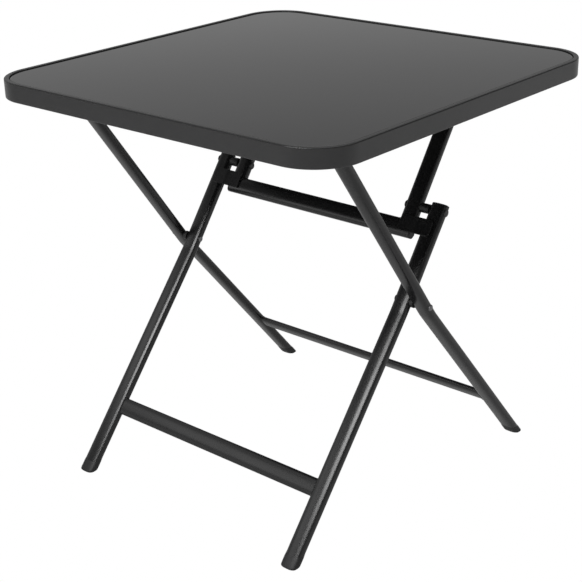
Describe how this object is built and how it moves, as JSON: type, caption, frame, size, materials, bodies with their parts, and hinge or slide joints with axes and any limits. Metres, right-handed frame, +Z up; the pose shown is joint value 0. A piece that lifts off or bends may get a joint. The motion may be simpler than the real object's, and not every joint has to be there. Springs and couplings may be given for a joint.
{
  "type": "folding card table",
  "caption": "Square folding table with a grey glass top in a steel rim, on crossed flat-oval legs that fold flat on a locking swing frame.",
  "frame": {"origin": "on the floor under the middle of the top, with the table standing open", "axes": "+X along the crossbars to the table's right, +Y to the rear edge, where the swing frame hangs, +Z up"},
  "size_m": [0.7, 0.7, 0.694],
  "materials": {
    "frame_steel": "dark grey powder coat, satin",
    "top_glass": "toughened glass, printed grey on its underside, polished",
    "seal_rubber": "matt black",
    "black_plastic": "moulded, fine texture",
    "rivet_steel": "dark grey paint over steel"
  },
  "bodies": {
    "top": {"top_rim": "frame_steel", "glass_top": "top_glass", "glass_seal": "seal_rubber", "cross_rail_front": "frame_steel", "cross_rail_rear": "frame_steel", "leg_bracket_left": "frame_steel", "leg_bracket_right": "frame_steel", "swing_bracket_left": "frame_steel", "swing_bracket_right": "frame_steel", "leg_hinge_rivets": "rivet_steel", "swing_hinge_rivets": "rivet_steel"},
    "outer_frame": {"outer_leg_left": "frame_steel", "outer_leg_right": "frame_steel", "outer_crossbar": "frame_steel", "outer_leg_bushes": "frame_steel", "outer_leg_plugs": "black_plastic", "outer_foot_left": "black_plastic", "outer_foot_right": "black_plastic", "cross_spacers": "black_plastic", "cross_rivets": "rivet_steel"},
    "inner_frame": {"inner_leg_left": "frame_steel", "inner_leg_right": "frame_steel", "inner_crossbar": "frame_steel", "inner_leg_bushes": "frame_steel", "inner_leg_plugs": "black_plastic", "inner_foot_left": "black_plastic", "inner_foot_right": "black_plastic", "knee_rivet_tails": "rivet_steel"},
    "swing_frame": {"swing_arm_left": "frame_steel", "swing_arm_right": "frame_steel", "swing_crossbar": "frame_steel", "swing_bar_plugs": "black_plastic", "swing_arm_plugs": "black_plastic", "swing_arm_bushes": "frame_steel", "stop_lug_left": "frame_steel", "stop_lug_right": "frame_steel", "knee_spacers": "black_plastic", "knee_pins": "rivet_steel"}
  },
  "joints": [
    {"name": "leg_fold", "type": "hinge", "parent": "top", "child": "outer_frame", "pos_m": [0, -0.2276, 0.6485], "axis": [1, 0, 0], "range_deg": [0, 53.7]},
    {"name": "leg_crossing", "type": "hinge", "parent": "outer_frame", "child": "inner_frame", "pos_m": [0, -0.0162, 0.34883], "axis": [1, 0, 0], "range_deg": [0, 71.8]},
    {"name": "swing_hinge", "type": "hinge", "parent": "top", "child": "swing_frame", "pos_m": [0, 0.20066, 0.6485], "axis": [1, 0, 0], "range_deg": [-53.53, 0]}
  ],
  "couplings": [
    {"joint": "leg_crossing", "follows": "leg_fold", "ratio": 1.3371},
    {"joint": "swing_hinge", "follows": "leg_fold", "ratio": -0.99685}
  ]
}
